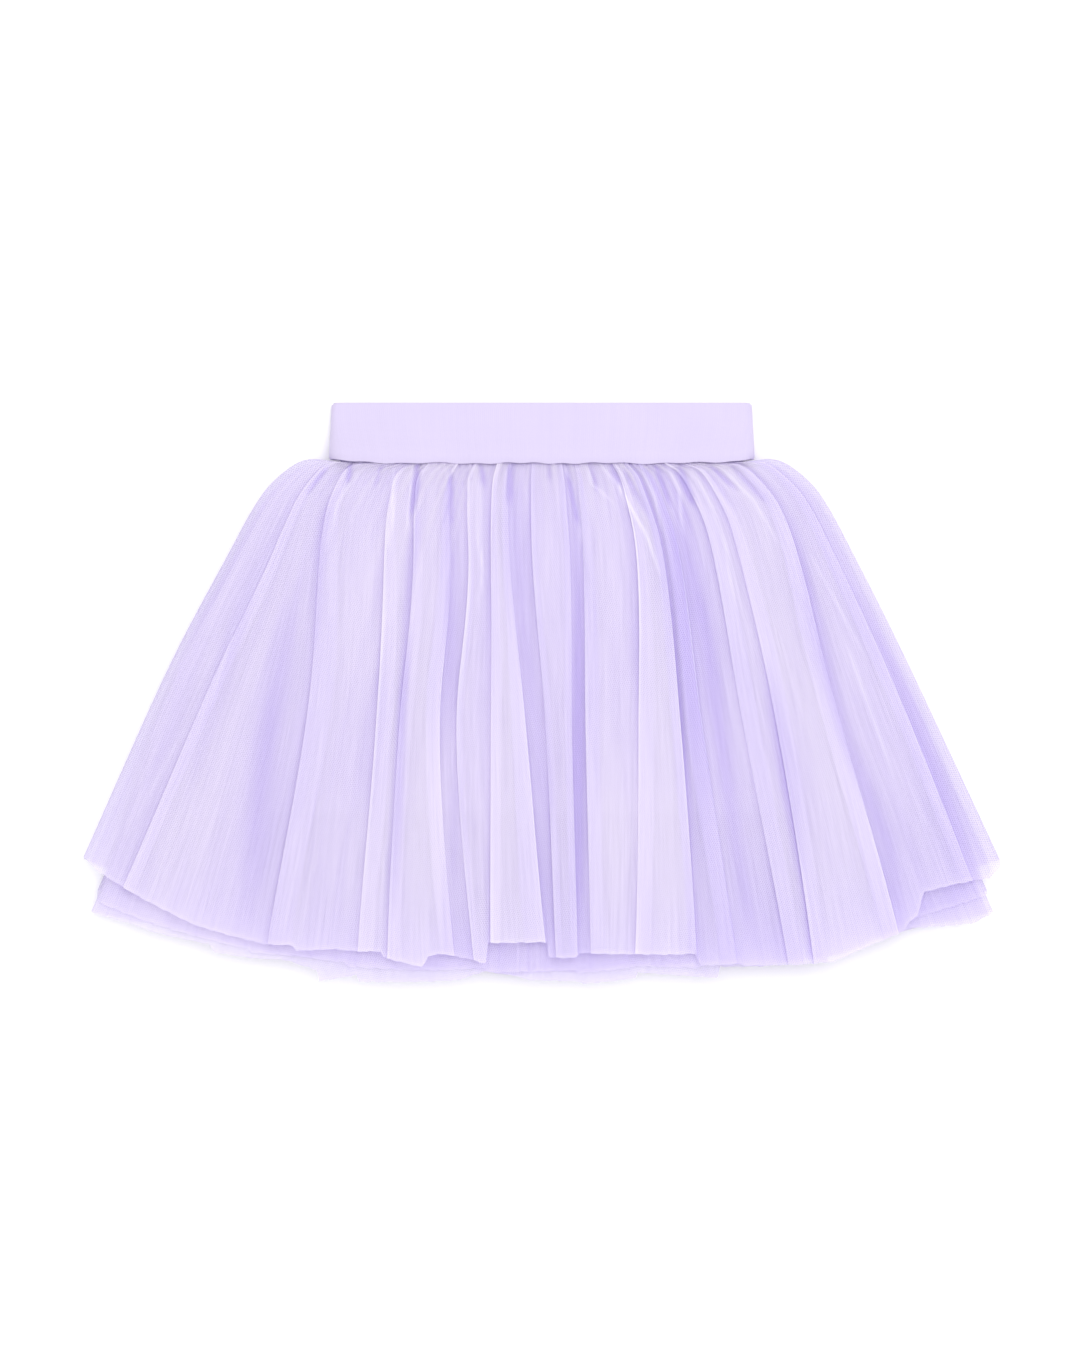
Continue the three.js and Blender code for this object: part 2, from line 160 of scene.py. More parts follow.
# How much lower each ring's front hangs than its even cut, across the skirt from -1 at the left to 1 at
# the right
HEMS = {
    "outer": [
        (-1, -1.5), (-0.96, 3), (-0.86, 8), (-0.75, 12.4), (-0.6, 12.3), (-0.54, 9),
        (-0.536, 12), (-0.455, 7), (-0.4, 6), (-0.346, 4), (-0.343, 7.5), (-0.258, 10.5),
        (-0.247, 3.7), (-0.214, 2), (-0.14, 5), (-0.122, 6.5), (-0.118, -5.7), (0.011, -6.5),
        (0.014, 2.4), (0.075, 2.6), (0.078, 0), (0.2, 2), (0.267, 3.5), (0.335, 5),
        (0.338, 12), (0.431, 14), (0.436, 15.5), (0.545, 20.4), (0.632, 24), (0.696, 21),
        (0.788, 18.4), (0.792, 15.5), (0.821, 11), (0.824, 0), (0.89, 2), (0.945, 5),
        (0.972, 7.5), (1, 3),
    ],
    "middle": [
        (-1, 6), (-0.89, 7), (-0.77, 6.5), (-0.66, 6), (-0.652, 7.5), (-0.55, 4),
        (-0.44, 3), (-0.436, 5), (-0.244, 2), (-0.126, -1), (-0.122, 1.5), (0.077, 0),
        (0.08, 2), (0.22, -0.8), (0.355, 3), (0.36, 1), (0.49, 5.5), (0.65, 9),
        (0.76, 4), (0.85, 0.5), (0.94, 1.5), (1, 2),
    ],
    "inner": [
        (-1, 0), (-0.905, -1), (-0.86, 0), (-0.732, -1.5), (-0.729, 2.5), (-0.636, 1),
        (-0.568, -1.4), (-0.497, 1.6), (-0.494, 7.8), (-0.41, 1.2), (-0.407, 5), (-0.186, -0.4),
        (-0.126, -6.2), (-0.063, -4), (-0.029, -1.5), (0.083, -0.7), (0.09, 1), (0.207, -1.3),
        (0.211, -4.6), (0.285, -2), (0.389, 2.3), (0.391, -4), (0.488, -1), (0.645, 0),
        (0.715, -2), (0.809, -6), (0.892, -1), (0.959, 2.5), (1, 0),
    ],
}

# Valleys of the outer ring's front, each a path of points across and down, half its width, and its depth;
# they are also darkened with painted shade
VALLEYS = [
    ([(-142, 59), (-158, -26), (-165, -98), (-170, -140)], 9, 3.4),
    ([(-125, 110), (-128, 76), (-131, 20)], 4, 1.6),
    ([(-73, 130), (-74, 88), (-79, 45), (-82, -40), (-87, -128)], 3.2, 2.2),
    ([(-55, 120), (-53, 30), (-52, -15)], 5, 2.4),
    ([(-52, -50), (-52, -110)], 3.5, 1.6),
    ([(-20, 112), (-11, 31), (3, -83)], 5, 2.2),
    ([(18, 118), (19, 40), (19, -130)], 3.4, 3),
    ([(27, 118), (28, 60)], 2, 1),
    ([(76, 124), (78, 90), (92, 30), (104, -55), (117, -140)], 5.5, 3.8),
    ([(90, 129), (110, 104)], 2.6, 1),
    ([(126, 16), (137, -54), (149, -112)], 4, 2),
    ([(142, 97), (150, 50), (171, -26), (194, -83), (203, -129)], 5, 2.6),
    ([(172, 66), (201, 10), (220, -26), (243, -100)], 3.5, 1.8),
    ([(-160, 90), (-182, 10), (-205, -60)], 6, 1.4),
    ([(-195, 30), (-228, -62)], 5, 1.2),
]

# Narrow creases that the stitching pulls into the cloth just under the waistband, darkened with painted
# shade
NICKS = [
    ([(-110, 133), (-112, 119)], 1.5, 2),
    ([(-72, 134), (-74, 118), (-76, 100)], 1.7, 3),
    ([(-54, 131), (-53.6, 96)], 1.3, 1.6),
    ([(-37, 133), (-34.8, 118)], 1.6, 2.4),
    ([(-20, 133), (-20.5, 108)], 1.5, 2.2),
    ([(1, 132), (2.5, 121)], 1.3, 1.6),
    ([(13, 126), (19, 96)], 1.6, 2),
    ([(25, 133), (30, 114)], 1.4, 2),
    ([(36, 132), (42.5, 118)], 1.6, 2.4),
    ([(43, 132), (57, 102)], 1.6, 2.2),
    ([(62, 132), (71, 106)], 1.4, 2),
    ([(75, 132), (84, 108)], 1.8, 2.6),
    ([(90, 133), (110, 115)], 1.5, 1.8),
    ([(104, 131), (126, 108)], 1.5, 1.4),
    ([(-92, 132), (-97, 118)], 1.3, 1.4),
    ([(-122, 131), (-136, 112)], 1.6, 1.6),
]

# Fine raised folds with a painted highlight along them as hairlines, each a path, half its width, and its
# height
HAIRS = [
    ([(-75, 133), (-77, 112), (-79, 92)], 0.9, 1),
    ([(-86, 128), (-87, 101), (-89, 84)], 0.9, 1),
    ([(-37.5, 128), (-37.6, 86), (-35.3, 69), (-39, 48)], 1, 1),
    ([(9, 133), (15, 121), (19.5, 100), (20, 84)], 0.9, 0.9),
    ([(22, 133), (27, 119), (38, 109)], 0.8, 0.9),
    ([(30, 132), (41, 119), (50, 103), (57, 91), (65, 68)], 1, 1.2),
    ([(52, 133), (62, 112), (66, 92)], 0.9, 0.9),
    ([(68, 133), (76, 115), (78, 90)], 0.9, 1.1),
    ([(80, 133), (92, 112), (102, 84), (108, 50)], 0.9, 1),
    ([(96, 132), (118, 110), (133, 84)], 0.9, 0.7),
    ([(-104, 130), (-118, 108), (-124, 84)], 0.9, 0.7),
    ([(-20, 108), (-17, 66), (-14, 40)], 0.8, 0.7),
    ([(150, 80), (182, 20)], 0.9, 0.6),
    ([(-150, 92), (-176, 40), (-190, -6)], 0.9, 0.6),
    ([(-205, -20), (-232, -70)], 0.9, 0.6),
    ([(170, 30), (188, -20), (204, -70)], 0.9, 0.7),
]

# Broad patches of painted light on the front, each a path, half its width, and how much paler, or
# deeper with painted shade below nothing
PAINTED_LIGHT_PATCHES = [
    ([(40, -20), (38, -90), (36, -160)], 16, 0.9),
    ([(-22, 60), (-24, -40), (-28, -160)], 9, 0.6),
    ([(-104, -60), (-108, -170)], 12, 0.6),
    ([(-190, -40), (-225, -120)], 18, 0.4),
    ([(150, 20), (170, -60), (180, -120)], 12, 0.6),
    ([(108, 100), (120, 40), (132, -10)], 8, 0.5),
    ([(-95, 120), (-100, 60), (-104, 0)], 9, 0.4),
    ([(-62, -20), (-66, -90), (-70, -150)], 9, 1.2),
    ([(66, 10), (70, -60), (72, -140)], 12, 0.4),
    ([(-150, 10), (-160, -60), (-168, -120)], 12, -0.7),
]


def mix(a, b, share):
    """From a to b, by a share from 0 to 1."""
    return a + (b - a) * share


def smooth(low, high, value):
    """0 below the low limit, 1 above the high one, and a soft step between."""
    share = np.clip((value - low) / (high - low), 0, 1)
    return share * share * (3 - 2 * share)


def read_curve(places, values, at):
    """A smooth curve through the values: a cubic whose slopes are those of its neighbours."""
    at = np.clip(at, places[0], places[-1])
    before = np.concatenate([values[:1], values[:-1]])
    after = np.concatenate([values[1:], values[-1:]])
    place_before = np.concatenate([places[:1], places[:-1]])
    place_after = np.concatenate([places[1:], places[-1:]])
    slope = (after - before) / (place_after - place_before)
    i = np.clip(np.searchsorted(places, at, side="right") - 1, 0, len(places) - 2)
    span = places[i + 1] - places[i]
    u = (at - places[i]) / span
    a = values[i]
    b = values[i + 1]
    p = slope[i] * span
    q = slope[i + 1] * span
    return a + u * (p + u * (3 * (b - a) - 2 * p - q + u * (2 * (a - b) + p + q)))


def outline(column, along):
    """One column of the outline, at a length down the cloth."""
    return read_curve(OUTLINE[:, 0], OUTLINE[:, column], along)


def spread(along):
    """0 at the seam, where everything is gathered tight, and 1 from the middle of the skirt down."""
    return np.sin(math.pi / 2 * np.clip((along - 2) / SPREAD_AT, 0, 1))


def between(limits, along):
    return mix(limits[0], limits[1], spread(along))


def side_fade(s):
    """1 over most of the width, down to 0 at the side folds."""
    return np.sqrt(np.clip((1 - np.abs(s)) / 0.14, 0, 1))


def band_lift(y):
    """The cloth inside the waistband lies on the band's back."""
    return BAND_LIFT * np.clip((y - LIFT_FROM_Y) / (LIFT_TO_Y - LIFT_FROM_Y), 0, 1)


def side_line(rows, walls, half, drop):
    """The side of a ring, inside the outline by the walls round it."""
    hem = rows[-1]
    cloth = rows * OUTLINE[-1, 0] / hem
    low = smooth(150, hem, rows)
    reach = outline(1, cloth) + (half - OUTLINE[-1, 1]) * low
    step = walls * SHOULDER_STEP
    down = np.where(rows < 0, rows, outline(2, cloth) + step) + (drop - OUTLINE[-1, 2] - step) * low
    line = np.stack([reach, -down], axis=1)
    way = np.gradient(line, axis=0)
    way /= np.linalg.norm(way, axis=1)[:, None]
    outward = np.stack([-way[:, 1], way[:, 0]], axis=1)
    return line - outward * (CLOTH_WALL / 2 + walls * SIDE_NEST)


def row_places(hem, fine, coarse):
    """How far down the cloth each row of points lies: close together near the seam."""
    near = np.arange(-SEAM_ALLOWANCE, 40, fine)
    return np.concatenate([near, np.linspace(40, hem, max(2, round((hem - 40) / coarse)))])


def half_turn(side, reach, low, radius):
    """Points round the right side fold (side 1) or the left one (side -1)."""
    angle = math.pi * np.arange(1, TURN_STEPS) / TURN_STEPS
    turn = angle if side > 0 else math.pi - angle
    return side * (reach - radius + radius * np.sin(turn)), low + radius + radius * np.cos(turn)


def tuck(faces, edge, depth, low, rise):
    """One folded pleat from left to right: where its points are across the skirt, their heights, their
    shine, which is 1 on the folded edge, and 1 for the points on top of the pleat."""
    r = rise / 2
    outer = np.linspace(math.pi / 2, -math.pi / 2, 8)
    inner = np.linspace(math.pi / 2, -math.pi / 2, 6)
    middle = np.linspace(r, depth - r, 6)[1:-1]
    under = np.linspace(depth - r, 0, 6)[1:]
    hidden = np.zeros(len(middle) + len(inner) + len(under))
    inwards = np.concatenate([r - r * np.cos(outer), middle, depth - r + r * np.cos(inner), under])
    height = np.concatenate([
        1.5 * rise + r * np.sin(outer),
        np.full(len(middle), rise),
        0.5 * rise + r * np.sin(inner),
        np.zeros(len(under)),
    ])
    q = edge - faces * inwards
    shine = np.concatenate([np.cos((outer - 0.3) / 1.1), hidden])
    above = np.concatenate([np.ones(len(outer)), hidden])
    made = (q, low(q) + height, np.clip(shine, 0, 1), above)
    return [part[1:-1][::-1] if faces < 0 else part[1:-1] for part in made]


def tuck_depth(i, edges, along):
    """How far a pleat's cloth is tucked in: its own depth, or less where its neighbour is near."""
    faces = PLEATS[i][1]
    neighbour = i - faces
    room = math.inf
    if 0 <= neighbour < len(PLEATS):
        shared = PLEATS[neighbour][1] == -faces
        room = abs(edges[neighbour] - edges[i]) * (0.45 if shared else 0.8) - 1
    least = between(TUCK_RISE, along) + TUCK_LEAST
    return max(least, min(mix(SEAM_TUCK, PLEATS[i][2], spread(along)), room))


def firmness(i, along):
    """How sharply a pleat is folded: it softens and sharpens again down the cloth."""
    return 0.64 + 0.36 * np.sin(along / (30 + 6 * (i % 4)) + 2.3 * i)


def strip(i, left, right, depths, flat_low, rises, along, steps):
    """The cloth between two pleats: it runs from one level to the other and bows a little."""
    level_left = 2 if i > 0 and PLEATS[i - 1][1] < 0 else 0
    level_right = 2 if i < len(PLEATS) and PLEATS[i][1] > 0 else 0
    slope_left = left + depths[i - 1] if level_left else left
    slope_right = right - depths[i] if level_right else right
    rise_left = level_left * rises[i - 1]
    rise_right = level_right * rises[i] if level_right else 0
    q = np.linspace(left + rise_left / 4, right - rise_right / 4, steps)
    q = q[1:] if i > 0 else q
    share = smooth(slope_left, slope_right, q)
    crown = STRIP_CROWN * spread(along) if level_left + level_right else 0
    bow = crown * np.sin(math.pi * np.clip((q - left) / (right - left), 0, 1))
    # Painted shade on the strip's lower level and painted light on its upper one, added to its painted tone
    shading = STRIP_SHADING * (mix(level_left, level_right, share) - 1)
    tone = STRIP_LIGHT_SHADE[i] * firmness(i, 0.7 * along + 40) + shading
    return q, flat_low(q) + mix(rise_left, rise_right, share) + bow, np.zeros(len(q)), tone


def pleated_front(along, reach, flat, low, steps):
    """The outer ring's front from left to right: pleats, and strips of cloth between them."""
    rises = [between(TUCK_RISE, along) * firmness(i, along) for i in range(len(PLEATS))]
    edges = [read_curve(EDGE_AT, np.array(pleat[0]), along) * reach for pleat in PLEATS]
    depths = [tuck_depth(i, edges, along) for i in range(len(PLEATS))]
    stops = [-flat, *edges, flat]
    parts = []
    for i in range(len(PLEATS) + 1):
        parts.append(strip(i, stops[i], stops[i + 1], depths, low, rises, along, steps[i]))
        if i < len(PLEATS):
            faces, brightness = PLEATS[i][1], PLEATS[i][3]
            q, z, shine, above = tuck(faces, edges[i], depths[i], low, rises[i])
            over, beneath = (STRIP_LIGHT_SHADE[i], STRIP_LIGHT_SHADE[i + 1]) if faces > 0 else (STRIP_LIGHT_SHADE[i + 1], STRIP_LIGHT_SHADE[i])
            shine = shine * brightness * firmness(i, along)
            parts.append((q, z, shine, np.where(above > 0, over, beneath)))
    return [np.concatenate(column) for column in zip(*parts)]


def creased_back(flat, low, height, steps):
    """A ring's back, from right to left: it lies flat, with narrow creases between flat stretches."""
    q = np.linspace(flat, -flat, steps)
    place = (flat - q) / (2 * flat) * BACK_CREASES
    ridge = np.clip((place % 1 - 0.45) / 0.55, 0, 1)
    uneven = 0.75 + 0.25 * np.sin(2.4 * np.floor(place))
    return q, low + height * uneven * np.sin(math.pi * ridge) ** 2


def gathers(s, along, count, seed, lengths):
    """Uneven rounded ridges with sharp troughs between them, which fan out down the cloth and die away."""
    random = np.random.default_rng(seed)
    tall = random.uniform(0.3, 1, count + 3)
    reach = random.uniform(lengths[0], lengths[1], count + 3)
    peaks = 0.5 + random.uniform(-0.32, 0.32, count + 3)
    place = (s + 1) / 2 * count + 0.5 * np.sin(7.3 * s + seed) + 0.3 * np.sin(17 * s + 2 * seed)
    place = np.clip(place + 1, 0, count + 2)
    i = np.clip(np.floor(place).astype(int), 0, count + 1)
    u = place - i
    peak = peaks[i]
    bent = np.where(u < peak, u / peak / 2, 0.5 + (u - peak) / (1 - peak) / 2)
    fade = np.exp(-((np.maximum(along, 0) / reach[i]) ** 1.6))
    return tall[i] * fade * np.sin(math.pi * bent) ** 0.7


def drawn(x, y, path, width, height):
    """A soft line along a path of points, highest in the middle of its length."""
    path = np.array(path, float)
    lengths = np.linalg.norm(np.diff(path, axis=0), axis=1)
    starts = np.concatenate([[0], np.cumsum(lengths)])
    nearest = np.full(x.shape, np.inf)
    place = np.zeros(x.shape)
    for i, length in enumerate(lengths):
        way = (path[i + 1] - path[i]) / length
        t = np.clip((x - path[i][0]) * way[0] + (y - path[i][1]) * way[1], 0, length)
        away = np.hypot(x - path[i][0] - t * way[0], y - path[i][1] - t * way[1])
        place = np.where(away < nearest, starts[i] + t, place)
        nearest = np.minimum(away, nearest)
    ends = np.sin(math.pi * np.clip(place / starts[-1], 0.02, 0.98)) ** 0.5
    return height * ends * np.exp(-((nearest / width) ** 2))


def all_drawn(x, y, lines):
    return sum(drawn(x, y, path, width, height) for path, width, height in lines)


def front_relief(x, y, s, along, gather_height, fold_height):
    """How much the soft folds lift the outer ring's front."""
    seam = gather_height * gathers(s, along, *SEAM_GATHERS)
    middle = fold_height * gathers(s, along, *MIDDLE_FOLDS) * smooth(0, 40, along)
    broad = fold_height * gathers(s, along, *BROAD_FOLDS) * smooth(30, 160, along)
    puff = 1.5 * np.exp(-(((along - 7) / 9) ** 2))
    sunk = 0.6 * all_drawn(x, y, VALLEYS) + all_drawn(x, y, NICKS)
    raised = seam + middle + broad + puff + 2.6 * smooth(0, 60, along) + 0.3 * all_drawn(x, y, HAIRS)
    return np.maximum(raised - sunk, 0) * smooth(-0.5, 4, along)


def more_rows(values, parts):
    """The same surface with more rows of points between its own."""
    share = np.arange(parts)[:, None] / parts
    return np.concatenate([mix(first, second, share) for first, second in zip(values[:-1], values[1:])])


def surroundings(x, y, z, seen, reach):
    """The height of the front round each point, averaged over a few millimetres."""
    margin = 6 * reach
    left = x.min() - margin
    low = y.min() - margin
    i = np.rint(more_rows(x[:, seen], 6) - left).astype(int)
    j = np.rint(more_rows(y[:, seen], 6) - low).astype(int)
    top = np.zeros((i.max() + margin, j.max() + margin))
    np.maximum.at(top, (i, j), more_rows(z[:, seen], 6))
    weight = (top > 0).astype(float)
    for _ in range(3):
        for axis in (0, 1):
            heights = sum(np.roll(top * weight, step, axis) for step in range(-reach, reach + 1))
            weight = sum(np.roll(weight, step, axis) for step in range(-reach, reach + 1))
            top = heights / np.maximum(weight, 1e-9)
            weight = np.minimum(weight, 1)
    u = np.clip(x - left, 0, top.shape[0] - 2)
    v = np.clip(y - low, 0, top.shape[1] - 2)
    i = u.astype(int)
    j = v.astype(int)
    u = u - i
    v = v - j
    return mix(mix(top[i, j], top[i + 1, j], u), mix(top[i, j + 1], top[i + 1, j + 1], u), v)


def woven_grid(name, points, across, up):
    """A grid whose points are put in their places, in millimetres, with the cloth's own coordinates:
    across it, and up it from the hem. Its first and last columns meet."""
    rows, columns = points.shape[:2]
    bpy.ops.object.select_all(action="DESELECT")
    bpy.ops.mesh.primitive_grid_add(x_subdivisions=columns - 1, y_subdivisions=rows - 1, size=1)
    piece = bpy.context.object
    piece.name = name
    mesh = piece.data
    mesh.name = name
    mesh.vertices.foreach_set("co", (points * MM).astype(np.float32).ravel())
    corner = np.empty(len(mesh.loops), dtype=np.int32)
    mesh.loops.foreach_get("vertex_index", corner)
    layer = mesh.uv_layers[0]
    layer.name = CLOTH_MAP
    places = np.stack([across.ravel()[corner], up.ravel()[corner]], axis=1) * MM
    layer.data.foreach_set("uv", places.astype(np.float32).ravel())
    mesh.update()
    return piece


def write_values(piece, name, values):
    attribute = piece.data.attributes.new(name, "FLOAT", "POINT")
    attribute.data.foreach_set("value", values.astype(np.float32).ravel())


def join_ends(piece):
    """Merges the first column of points with the last, turns the faces outwards and shades it smooth."""
    bpy.ops.object.mode_set(mode="EDIT")
    bpy.ops.mesh.select_all(action="SELECT")
    bpy.ops.mesh.remove_doubles(threshold=1e-6)
    bpy.ops.mesh.flip_normals()
    bpy.ops.object.mode_set(mode="OBJECT")
    bpy.ops.object.shade_smooth()


def dress(piece, node, material):
    """Gives a piece of cloth its material and its place on the frame."""
    piece.data.materials.clear()
    piece.data.materials.append(material)
    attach(piece, "root")
    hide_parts(node)


def tulle_ring(name, sizes):
    """One ring of tulle: its front, its right side fold, its back and its left side fold, row by row."""
    walls, length, half, drop, lift, ripple, fine, coarse, flat_cut = RINGS[name]
    rows = row_places(length, fine, coarse)
    widths = np.diff([-1, *(pleat[0][3] for pleat in PLEATS), 1])
    steps = [max(8, round(width * 150)) for width in widths]
    table = []
    for along, (reach, down) in zip(rows, side_line(rows, walls, half, drop)):
        crease = between(BACK_CREASE, along)
        low = CLOTH_WALL / 2 + walls * NEST + (crease if walls else 0)
        top = CLOTH_WALL / 2 + 2 * between(SIDE_RADIUS, along) - walls * FRONT_NEST
        radius = (top - low) / 2
        flat = reach - radius

        def base(q):
            return top + lift * LOFT * spread(along) * (1 - (q / reach) ** 2)

        if walls:
            q = np.linspace(-flat, flat, 360)
            wave = gathers(q / reach, along, 26 + 5 * walls, 40 + walls, (500, 800))
            z = base(q) + ripple * mix(0.2, 1, spread(along)) * wave * side_fade(q / reach)
            shine = np.zeros(len(q))
            # The fronts of the middle and inner rings get darker towards their sides near the hem
            deeper = 0.7 * smooth(-0.75, -0.4, q / reach) + 0.4 * smooth(0.68, 0.9, q / reach)
            tone = 0.1 - deeper * smooth(200, 270, along)
        else:
            q, z, shine, tone = pleated_front(along, reach, flat, base, steps)
        front = len(q)
        right_q, right_z = half_turn(1, reach, low, radius)
        back_q, back_z = creased_back(flat, low, crease, 90 if walls else 220)
        left_q, left_z = half_turn(-1, reach, low, radius)
        q = np.concatenate([q, right_q, back_q, left_q, q[:1]])
        z = np.concatenate([z, right_z, back_z, left_z, z[:1]])
        s = q / reach
        behind = np.zeros(len(q))
        behind[front + TURN_STEPS // 2:-TURN_STEPS // 2 - 1] = 1
        share = np.zeros(len(q))
        share[:front] = side_fade(s[:front])
        shown = np.zeros((2, len(q)))
        shown[:, :front] = shine, tone
        fan = np.clip(np.abs(s), 0, 1) ** THREAD_FAN
        front_hem = np.interp(s, *np.array(HEMS[name]).T)
        back_hem = (1.8 * np.sin(11 * s + walls) + np.sin(37 * s + 2 * walls) - 3 * walls) * (1 - s**4)
        fray = 0.2 * np.sin(173 * s) + 0.15 * np.sin(311 * s + walls)
        hang = mix(front_hem, back_hem, behind) + fray
        y = GATHER_Y + mix(-along, down, fan) - hang * (max(along, 0) / length) ** 3
        x = q - outline(3, along)
        table.append((x, y, z + band_lift(y), s, share, behind, *shown))
    x, y, z, s, share, behind, shine, tone = (np.array(column) for column in zip(*table))
    along = np.repeat(rows[:, None], x.shape[1], axis=1)
    crease_shade = 0
    if not walls:
        z = z + share * front_relief(x, y, s, along, sizes.gather_height / MM, sizes.fold_height / MM)
        # Painted highlight along the hairlines
        shine = shine + 0.5 * share * np.clip(all_drawn(x, y, HAIRS), 0, 1)
        # Painted shade in the drawn nicks and valleys
        crease_shade = share * (0.3 * all_drawn(x, y, NICKS) + 0.12 * all_drawn(x, y, VALLEYS))
        # Painted light on the gathers' ridges, painted shade between them, and darker near the seam
        gather_light_and_shade = gathers(s, along, *SEAM_GATHERS) - 0.35 * np.exp(-np.maximum(along, 0) / 30)
        tone = tone + share * (all_drawn(x, y, PAINTED_LIGHT_PATCHES) + 1.2 * gather_light_and_shade)
    hem_steps = np.hypot(np.diff(x[-1]), np.diff(z[-1]))
    across = np.repeat(np.concatenate([[0], np.cumsum(hem_steps)])[None], len(rows), axis=0)
    seen = behind[0] == 0
    # Painted shade: points lower than the front round them, and the drawn nicks and valleys, get darker
    sunk = np.clip((surroundings(x, y, z, seen, 4) - z) / 5 + crease_shade, 0, 1) * (1 - behind)
    piece = woven_grid("tulle_" + name + "_layer", np.stack([x, y, z], axis=-1), across, length - along)
    write_values(piece, VALLEY_SHADE, sunk)
    write_values(piece, SHINE, np.clip(shine, 0, 1))
    write_values(piece, LIGHT_SHADE_AND_TONE, tone)
    write_values(piece, BEHIND, behind)
    join_ends(piece)
    return piece, flat_cut


def flat_tube(reach, low, top, steps):
    """A flattened tube across the skirt, between two heights, as one closed row of points."""
    radius = (top - low) / 2
    flat = reach - radius
    front = np.linspace(-flat, flat, steps)
    right_q, right_z = half_turn(1, reach, low, radius)
    left_q, left_z = half_turn(-1, reach, low, radius)
    q = np.concatenate([front, right_q, front[::-1], left_q, front[:1]])
    z = np.concatenate([np.full(steps, top), right_z, np.full(steps, low), left_z, [top]])
    return q, z


def tube_piece(name, points, down, length):
    """A flattened tube of cloth from its rows of points, with its own coordinates."""
    widest = points[-1]
    steps = np.hypot(np.diff(widest[:, 0]), np.diff(widest[:, 2]))
    across = np.repeat(np.concatenate([[0], np.cumsum(steps)])[None], len(points), axis=0)
    piece = woven_grid(name, points, across, np.repeat(length - down[:, None], across.shape[1], axis=1))
    join_ends(piece)
    return piece


def lining_tube():
    """The lining: a plain, slightly flared tube with a straight hem."""
    rows = row_places(LINING_LENGTH, 4, 8)
    table = []
    for along in rows:
        reach = OUTLINE[0, 1] - CLOTH_WALL / 2 - LINING_WALLS * SIDE_NEST + LINING_FLARE * max(along, 0)
        low = CLOTH_WALL / 2 + LINING_WALLS * NEST + between(BACK_CREASE, along) + LINING_EASE
        top = CLOTH_WALL / 2 + 2 * between(SIDE_RADIUS, along) - LINING_WALLS * NEST - LINING_EASE
        q, z = flat_tube(reach, low, top, 110)
        y = np.full(len(q), GATHER_Y - along)
        table.append(np.stack([q - OUTLINE[0, 3], y, z + band_lift(y)], axis=-1))
    return tube_piece("lining_knit", np.array(table), rows, LINING_LENGTH)


def waistband_tube():
    """The waistband: a flattened tube of elastic, lifted at its lower edge by the gathers inside it, with
    gently uneven fullness and a lower edge that the gathers pull a little out of line."""
    rows = np.concatenate([[0, 0.015, 0.04, 0.08], np.linspace(0.13, 0.94, 22), [0.97, 0.985, 1]])
    table = []
    for down in rows:
        thickness = read_curve(BAND_SECTIONS[:, 0], BAND_SECTIONS[:, 1], down)
        corner = 1.3 * (1 - smooth(0, 0.05, down)) + 0.5 * smooth(0.95, 1, down)
        reach = WAIST_WIDTH / 2 - corner + 1.2 * down
        q, z = flat_tube(reach, 0.1, thickness, 170)
        front = np.clip(2 * z / thickness - 1, 0, 1) * (1 - (q / reach) ** 8)
        bulge = 0.9 * np.exp(-(((q - 79) / 9) ** 2)) * down**6
        swell = 0.3 * np.sin(q / 17 + 1) + 0.2 * np.sin(q / 6.1) + bulge
        z = z + front * swell * smooth(0.1, 0.9, down)
        pulled = 0.3 * np.sin(q / 2.9 + 1.3 * np.sin(q / 21)) + 0.3 * np.sin(q / 7.7)
        sag = pulled * smooth(0.88, 1, down) + BAND_SAG * smooth(0.3, 1, down)
        y = BAND_TOP_Y - down * BAND_HEIGHT - front * sag
        table.append(np.stack([q - OUTLINE[0, 3], y, z], axis=-1))
    piece = tube_piece("waistband_elastic", np.array(table), rows * BAND_HEIGHT, BAND_HEIGHT)
    thicken = piece.modifiers.new("elastic wall", "SOLIDIFY")
    thicken.thickness = BAND_WALL * MM
    thicken.offset = -1
    bpy.ops.object.modifier_apply(modifier=thicken.name)
    return piece


def feed(tree, socket, value):
    if isinstance(value, bpy.types.NodeSocket):
        tree.links.new(value, socket)
    else:
        socket.default_value = value


def maths(tree, operation, *values):
    node = tree.nodes.new("ShaderNodeMath")
    node.operation = operation
    for socket, value in zip(node.inputs, values):
        feed(tree, socket, value)
    return node.outputs[0]


def centred(tree, value, share):
    """The value less a half, times the share: so much above or below nothing."""
    return maths(tree, "MULTIPLY", maths(tree, "SUBTRACT", value, 0.5), share)


def total(tree, *values):
    result = values[0]
    for value in values[1:]:
        result = maths(tree, "ADD", result, value)
    return result


def held_between(tree, value, low, high):
    return maths(tree, "MINIMUM", maths(tree, "MAXIMUM", value, low), high)


def smooth_step(tree, value, low, high, at_low, at_high):
    node = tree.nodes.new("ShaderNodeMapRange")
    node.interpolation_type = "SMOOTHSTEP"
    names = ("Value", "From Min", "From Max", "To Min", "To Max")
    for name, setting in zip(names, (value, low, high, at_low, at_high)):
        feed(tree, node.inputs[name], setting)
    return node.outputs["Result"]


def tinted(tree, share, first, second):
    node = tree.nodes.new("ShaderNodeMix")
    node.data_type = "RGBA"
    feed(tree, node.inputs["Factor"], share)
    feed(tree, node.inputs[6], first)
    feed(tree, node.inputs[7], second)
    return node.outputs[2]


def noise(tree, u, v, across, up):
    """Noise with its own size across and up the cloth, in metres."""
    place = tree.nodes.new("ShaderNodeCombineXYZ")
    feed(tree, place.inputs["X"], maths(tree, "DIVIDE", u, across))
    feed(tree, place.inputs["Y"], maths(tree, "DIVIDE", v, up))
    node = tree.nodes.new("ShaderNodeTexNoise")
    node.inputs["Scale"].default_value = 1
    tree.links.new(place.outputs["Vector"], node.inputs["Vector"])
    return node.outputs[0]


